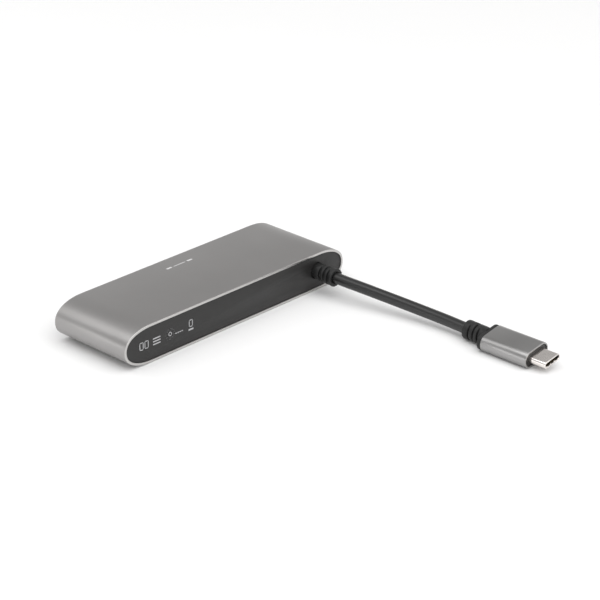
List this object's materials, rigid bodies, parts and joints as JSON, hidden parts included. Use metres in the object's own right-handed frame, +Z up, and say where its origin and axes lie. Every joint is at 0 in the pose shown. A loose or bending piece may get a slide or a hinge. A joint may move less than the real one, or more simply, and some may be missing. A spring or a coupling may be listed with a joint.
{
  "type": "laptop docking station",
  "caption": "Slim aluminium docking station with rounded ends, card slot and sockets along one side, and a short captive cable with a small reversible plug.",
  "frame": {"origin": "middle of the box's underside, on the surface it rests on", "axes": "+X along the box's length towards the end where the cable leaves, +Y towards the side with the sockets, +Z up; the cable leaves towards -Y"},
  "size_m": [0.1066, 0.1368, 0.0143],
  "materials": {
    "body_aluminium": "grey anodised, bead blasted, bright cut rim",
    "panel_plastic": "fine matt texture",
    "tray_plastic": "moulded",
    "board_laminate": "solder resist",
    "screw_steel": "zinc plated",
    "chip_epoxy": "moulded epoxy",
    "crystal_can": "plated can",
    "inductor_ferrite": "pressed ferrite",
    "capacitor_case": "moulded case",
    "shield_tinplate": "tin plated",
    "thermal_silicone": "soft gap filler",
    "socket_steel": "nickel plated sheet",
    "socket_plastic": "moulded",
    "contact_gilt": "gold plated",
    "slider_plastic": "moulded",
    "spring_steel": "drawn wire",
    "boot_rubber": "matt moulded",
    "cable_rubber": "satin extruded jacket",
    "wire_red": "vinyl",
    "wire_black": "vinyl",
    "wire_green": "vinyl",
    "wire_grey": "vinyl",
    "plug_aluminium": "grey anodised, satin",
    "plug_plastic": "moulded",
    "tip_nickel": "nickel plated, drawn"
  },
  "bodies": {
    "station": {"housing_sleeve": "body_aluminium", "cable_side_panel": "panel_plastic", "port_side_panel": "panel_plastic", "carrier_tray": "tray_plastic", "main_board": "board_laminate", "board_screw_1": "screw_steel", "board_screw_2": "screw_steel", "board_screw_3": "screw_steel", "board_screw_4": "screw_steel", "hub_controller_chip": "chip_epoxy", "video_converter_chip": "chip_epoxy", "power_controller_chip": "chip_epoxy", "card_reader_chip": "chip_epoxy", "memory_chip": "chip_epoxy", "crystal": "crystal_can", "power_inductor": "inductor_ferrite", "bulk_capacitor_1": "capacitor_case", "bulk_capacitor_2": "capacitor_case", "shield_can": "shield_tinplate", "thermal_pad": "thermal_silicone", "type_a_shell_1": "socket_steel", "type_a_shell_2": "socket_steel", "type_a_tongue_1": "socket_plastic", "type_a_tongue_2": "socket_plastic", "type_a_contacts_1": "contact_gilt", "type_a_contacts_2": "contact_gilt", "video_port_shell": "socket_steel", "video_port_tongue": "socket_plastic", "video_contacts_upper": "contact_gilt", "video_contacts_lower": "contact_gilt", "card_socket_base": "socket_plastic", "card_socket_cover": "socket_steel", "card_socket_contacts": "contact_gilt", "card_slider_spring": "spring_steel", "card_slider_cam_wire": "spring_steel", "cable_boot": "boot_rubber", "cable_tail": "cable_rubber", "cable_crimp": "shield_tinplate", "power_wire": "wire_red", "ground_wire": "wire_black", "data_wire_1": "wire_green", "data_wire_2": "wire_grey", "cable": "cable_rubber", "plug_boot": "boot_rubber", "plug_sleeve": "plug_aluminium", "plug_insert": "plug_plastic", "plug_tip": "tip_nickel", "plug_core": "plug_plastic", "plug_contacts_upper": "contact_gilt", "plug_contacts_lower": "contact_gilt", "plug_board": "board_laminate", "plug_marker_chip": "chip_epoxy"},
    "card_slider": {"card_slider": "slider_plastic"}
  },
  "joints": [
    {"name": "card_slider_push", "type": "slide", "parent": "station", "child": "card_slider", "axis": [0, -1, 0], "range_m": [0, 0.0045], "stiffness_N_per_m": 120, "springref_m": -0.002, "deforming": ["card_slider_spring"]}
  ]
}
